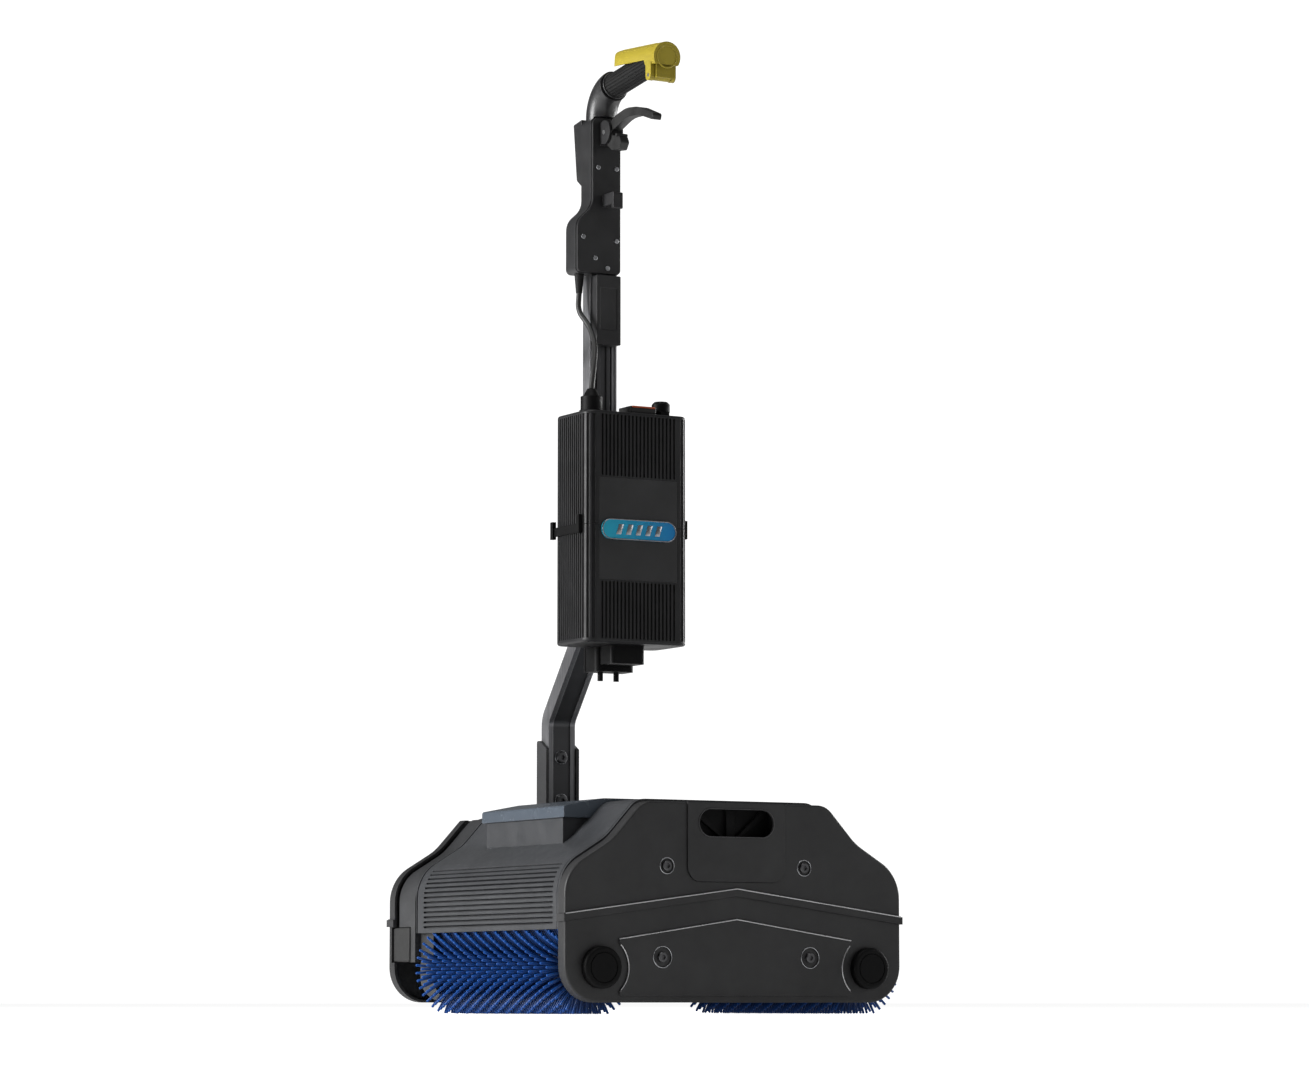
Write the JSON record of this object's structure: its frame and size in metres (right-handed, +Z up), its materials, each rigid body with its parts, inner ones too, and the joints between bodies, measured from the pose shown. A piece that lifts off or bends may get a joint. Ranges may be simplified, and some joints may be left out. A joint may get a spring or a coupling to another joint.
{
  "type": "wet dry floor scrubber",
  "caption": "Walk-behind wet and dry floor scrubber: low louvred body over cylindrical bristle brushes, swinging handle pole with battery, grip and levers.",
  "frame": {"origin": "on the floor, under the middle of the body", "axes": "+X along the brush axes towards the side with the carry handle, -X the side with the drive and the handle pole, Y the direction of travel, +Z up"},
  "size_m": [0.442, 0.4338, 1.1062],
  "materials": {
    "cover_plastic": "fine-grained moulded charcoal",
    "trim_plastic": "satin charcoal",
    "cap_plastic": "satin black",
    "frame_plastic": "satin dark grey",
    "hood_plastic": "satin dark grey",
    "lid_plastic": "blue-grey gloss",
    "tank_plastic": "natural grey",
    "bumper_rubber": "matt black",
    "blade_rubber": "matt",
    "bolt_steel": "blackened",
    "bare_steel": "turned",
    "motor_metal": "black paint",
    "gear_plastic": "natural acetal",
    "belt_rubber": "ribbed",
    "core_plastic": "dark blue",
    "bristle_nylon": "deep blue nylon",
    "black_metal": "black powder coat",
    "pole_aluminium": "black anodised",
    "battery_plastic": "satin black",
    "face_plastic": "satin",
    "badge_gloss": "teal to blue",
    "cell_block": "wrapped cells",
    "flap_plastic": "satin black, red edge",
    "button_red": "red",
    "head_plastic": "satin black",
    "grip_rubber": "moulded",
    "lever_plastic": "mustard yellow",
    "trigger_plastic": "satin black",
    "lead_rubber": "smooth"
  },
  "bodies": {
    "chassis": {"near_lower_cover": "cover_plastic", "far_lower_cover": "cover_plastic", "near_upper_cover": "cover_plastic", "far_upper_cover": "cover_plastic", "seam_trims": "trim_plastic", "carry_plate": "trim_plastic", "bearing_caps": "cap_plastic", "cover_bolts": "bolt_steel", "grip_pocket": "cap_plastic", "near_side_frame": "frame_plastic", "far_side_frame": "frame_plastic", "corner_bumpers": "bumper_rubber", "front_hood": "hood_plastic", "rear_hood": "hood_plastic", "recovery_tray": "tank_plastic", "solution_tank": "tank_plastic", "scraper_blades": "blade_rubber", "spray_bars": "bare_steel", "drive_case": "frame_plastic", "shaft_bearings": "bare_steel", "drive_motor": "motor_metal", "drive_belts": "belt_rubber", "handle_pin": "bare_steel"},
    "front_brush": {"front_brush_core": "core_plastic", "front_brush_bristles": "bristle_nylon"},
    "rear_brush": {"rear_brush_core": "core_plastic", "rear_brush_bristles": "bristle_nylon"},
    "drum": {"pickup_drum": "core_plastic"},
    "rotor": {"motor_rotor": "bare_steel"},
    "reverser": {"reversing_gear": "gear_plastic"},
    "lid": {"tank_lid": "lid_plastic"},
    "handle": {"handle_bush": "gear_plastic", "handle_bracket": "black_metal", "pole": "pole_aluminium", "pole_bolts": "bolt_steel", "battery_cradle": "cap_plastic", "battery_lower_shell": "battery_plastic", "battery_upper_shell": "battery_plastic", "battery_face_plate": "face_plastic", "battery_badge": "badge_gloss", "battery_cells": "cell_block", "battery_latches": "cap_plastic", "battery_socket": "cap_plastic", "battery_plug": "cap_plastic", "vent_gland": "cap_plastic", "pole_junction_box": "head_plastic", "handle_head": "head_plastic", "head_front_cover": "head_plastic", "head_switch": "gear_plastic", "head_screws": "bolt_steel", "strain_relief": "grip_rubber", "grip": "grip_rubber", "lever_hinge_block": "lever_plastic", "lever_pins": "bare_steel", "trigger_mount": "head_plastic", "battery_lead": "lead_rubber"},
    "flap": {"charge_flap": "flap_plastic"},
    "button": {"battery_button": "button_red"},
    "grip_lever": {"dead_man_lever": "lever_plastic"},
    "trigger": {"trigger_lever": "trigger_plastic"}
  },
  "joints": [
    {"name": "front_brush_spin", "type": "hinge", "parent": "chassis", "child": "front_brush", "pos_m": [0, -0.1675, 0.0494], "axis": [1, 0, 0], "continuous": true},
    {"name": "rear_brush_spin", "type": "hinge", "parent": "chassis", "child": "rear_brush", "pos_m": [0, 0.1675, 0.0494], "axis": [1, 0, 0], "continuous": true},
    {"name": "drum_spin", "type": "hinge", "parent": "chassis", "child": "drum", "pos_m": [0, 0, 0.066], "axis": [1, 0, 0], "continuous": true},
    {"name": "motor_spin", "type": "hinge", "parent": "chassis", "child": "rotor", "pos_m": [0, 0.148, 0.146], "axis": [1, 0, 0], "continuous": true},
    {"name": "reverser_spin", "type": "hinge", "parent": "chassis", "child": "reverser", "pos_m": [0, 0.1006, 0.1239], "axis": [1, 0, 0], "continuous": true},
    {"name": "handle_swing", "type": "hinge", "parent": "chassis", "child": "handle", "pos_m": [0, 0, 0.13], "axis": [1, 0, 0], "range_deg": [-40, 40]},
    {"name": "lid_lift", "type": "slide", "parent": "chassis", "child": "lid", "axis": [0, 0, 1], "range_m": [0, 0.035]},
    {"name": "charge_flap_hinge", "type": "hinge", "parent": "handle", "child": "flap", "pos_m": [-0.041, 0.036, 0.691], "axis": [-1, 0, 0], "range_deg": [0, 90]},
    {"name": "battery_button_press", "type": "slide", "parent": "handle", "child": "button", "axis": [0, 0, -1], "range_m": [0, 0.0015], "stiffness_N_per_m": 300},
    {"name": "dead_man_lever_squeeze", "type": "hinge", "parent": "handle", "child": "grip_lever", "pos_m": [0.047, 0, 1.06], "axis": [0, -1, 0], "range_deg": [0, 11], "stiffness_Nm_per_rad": 1.2, "springref_deg": -8.59},
    {"name": "trigger_pull", "type": "hinge", "parent": "handle", "child": "trigger", "pos_m": [-0.071, 0, 1.016], "axis": [0, -1, 0], "range_deg": [0, 12], "stiffness_Nm_per_rad": 1.2, "springref_deg": -8.59}
  ],
  "couplings": [
    {"joint": "rear_brush_spin", "follows": "front_brush_spin", "ratio": -1},
    {"joint": "drum_spin", "follows": "front_brush_spin", "ratio": 1},
    {"joint": "motor_spin", "follows": "front_brush_spin", "ratio": 1.8462},
    {"joint": "reverser_spin", "follows": "front_brush_spin", "ratio": -0.61538}
  ]
}
